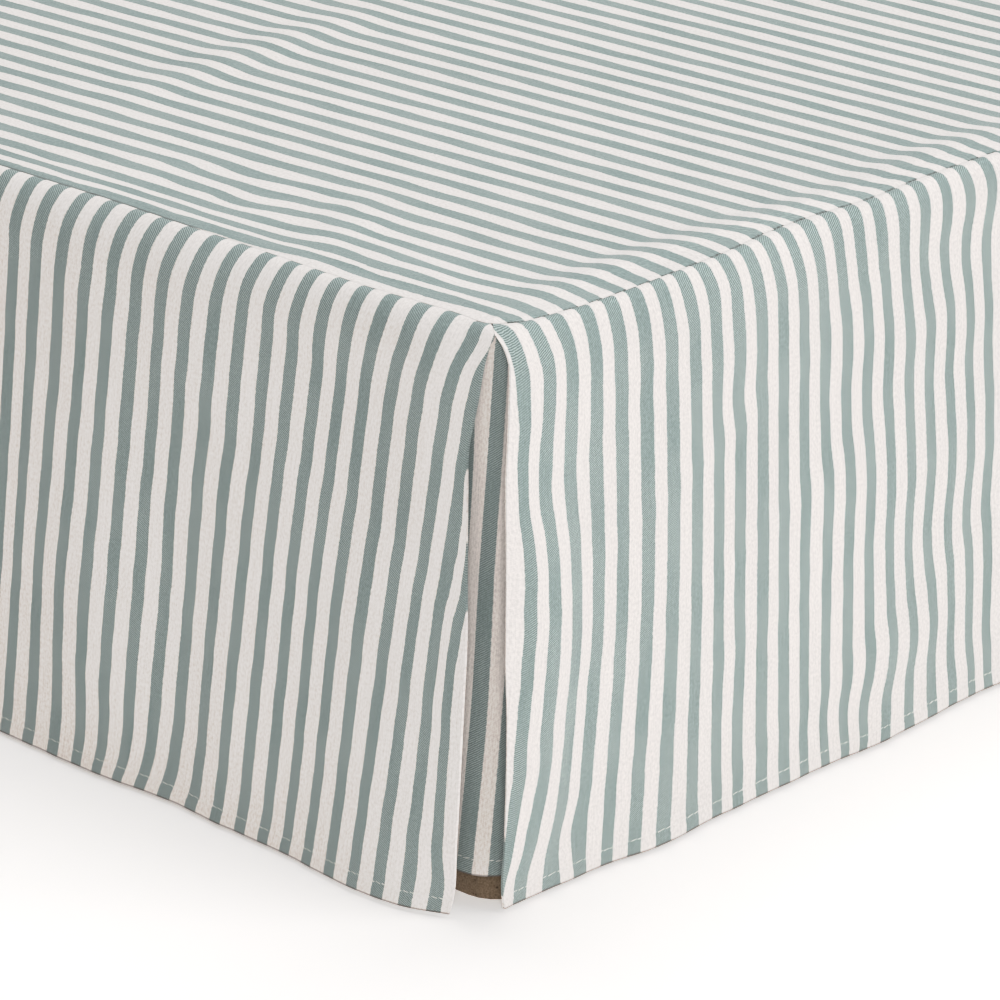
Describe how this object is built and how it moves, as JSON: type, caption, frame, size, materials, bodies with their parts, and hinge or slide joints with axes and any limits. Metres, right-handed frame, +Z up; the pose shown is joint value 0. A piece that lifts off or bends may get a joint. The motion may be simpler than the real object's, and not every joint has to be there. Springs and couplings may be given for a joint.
{
  "type": "bed skirt on a bed base",
  "caption": "Tailored split-corner bed skirt of striped cloth, with a flat deck, long side drops, a foot drop and corner inserts, fitted on a plain bed base.",
  "frame": {"origin": "on the floor under the middle of the part's outline", "axes": "+X to the foot of the bed, +Y to its far long side, +Z up"},
  "size_m": [1.9382, 1.0596, 0.3819],
  "materials": {
    "striped cloth": "cream cotton twill with soft teal stripes",
    "base cloth": "rough brown cover cloth"
  },
  "bodies": {
    "root": {"deck": "striped cloth", "drop_near": "striped cloth", "drop_foot": "striped cloth", "drop_far": "striped cloth", "insert_near": "striped cloth", "insert_far": "striped cloth", "bed_base": "base cloth"}
  },
  "joints": []
}
